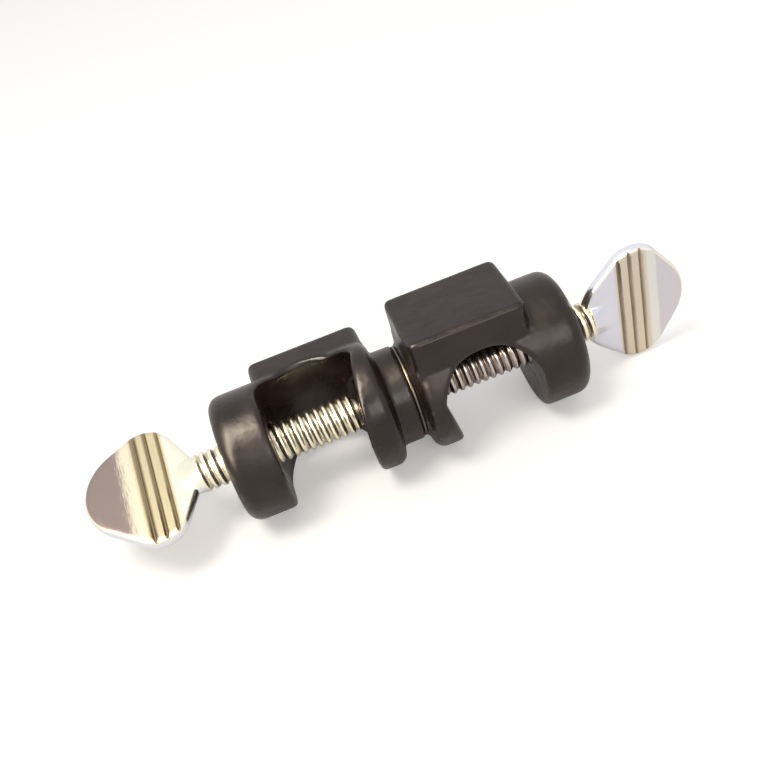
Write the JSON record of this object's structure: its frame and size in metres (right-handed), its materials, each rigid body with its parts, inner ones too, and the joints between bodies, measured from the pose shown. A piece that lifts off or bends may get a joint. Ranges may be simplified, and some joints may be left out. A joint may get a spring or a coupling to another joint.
{
  "type": "swivel boss head clamp",
  "caption": "Swivel boss head clamp: black cast clamp heads turning on a common axis, each with a round-topped rod jaw and a coaxial spade-headed thumb screw.",
  "frame": {"origin": "middle of the right jaw, where the rod's line crosses the axis of the thumb screw", "axes": "+X along the swivel and screw axis towards the right spade, +Y along the rod that the right jaw holds (away from the viewer), +Z out of the right head's back block"},
  "size_m": [0.1244, 0.0286, 0.0295],
  "materials": {
    "enamelled_casting": "semi-gloss black enamel",
    "plated_screw": "bright nickel plate, polished",
    "zinc_fastener": "zinc-plated steel",
    "washer_steel": "plain spring steel"
  },
  "bodies": {
    "right_side": {"right_head": "enamelled_casting", "swivel_bolt": "zinc_fastener", "swivel_nut": "zinc_fastener", "spring_washer": "zinc_fastener", "friction_washer": "washer_steel"},
    "left_side": {"left_head": "enamelled_casting"},
    "left_screw": {"left_thumb_screw": "plated_screw"},
    "right_screw": {"right_thumb_screw": "plated_screw"}
  },
  "joints": [
    {"name": "swivel", "type": "hinge", "parent": "right_side", "child": "left_side", "pos_m": [-0.0142, 0, 0], "axis": [1, 0, 0], "continuous": true},
    {"name": "left_screw_travel", "type": "slide", "parent": "left_side", "child": "left_screw", "axis": [-1, 0, 0], "range_m": [-0.0017, 0.0175]},
    {"name": "right_screw_travel", "type": "slide", "parent": "right_side", "child": "right_screw", "axis": [1, 0, 0], "range_m": [-0.001, 0.0182]}
  ]
}
